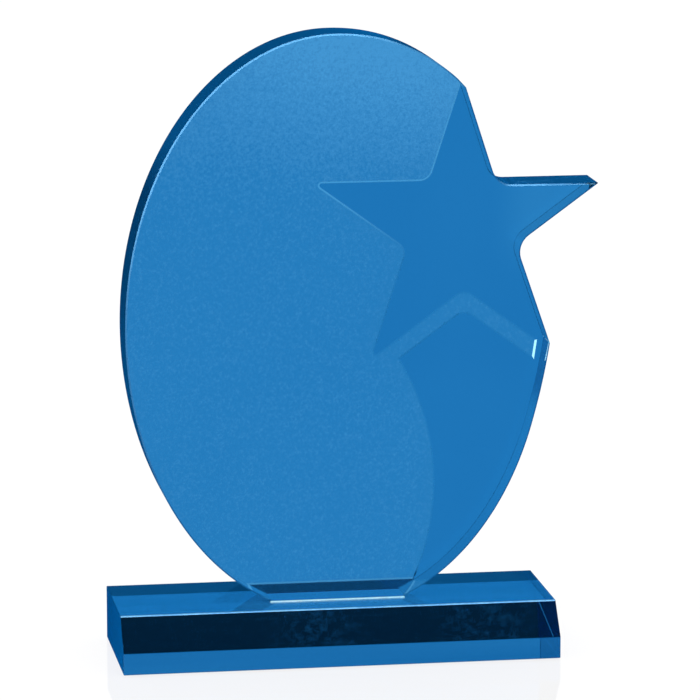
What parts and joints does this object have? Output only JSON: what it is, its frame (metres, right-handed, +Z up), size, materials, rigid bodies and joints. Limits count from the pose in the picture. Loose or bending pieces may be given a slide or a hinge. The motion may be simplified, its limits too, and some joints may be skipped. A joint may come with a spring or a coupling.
{
  "type": "star trophy",
  "caption": "Clear blue acrylic desk award: a thick oval plate whose right side is cut to a star, standing on a block base with a sloped front.",
  "frame": {"origin": "centre of the base block's underside, on the surface that the award stands on", "axes": "+Z up, +Y from the sloped front to the back, +X to the right as the award is read, towards the star's free arm"},
  "size_m": [0.1729, 0.0558, 0.2222],
  "materials": {
    "base_acrylic": "clear blue cast acrylic, polished on every face",
    "plate_acrylic": "clear blue cast acrylic, polished edges, sand-carved back",
    "bond_adhesive": "clear cured adhesive"
  },
  "bodies": {
    "root": {"base_block": "base_acrylic", "award_plate": "plate_acrylic", "bond_film": "bond_adhesive"}
  },
  "joints": []
}
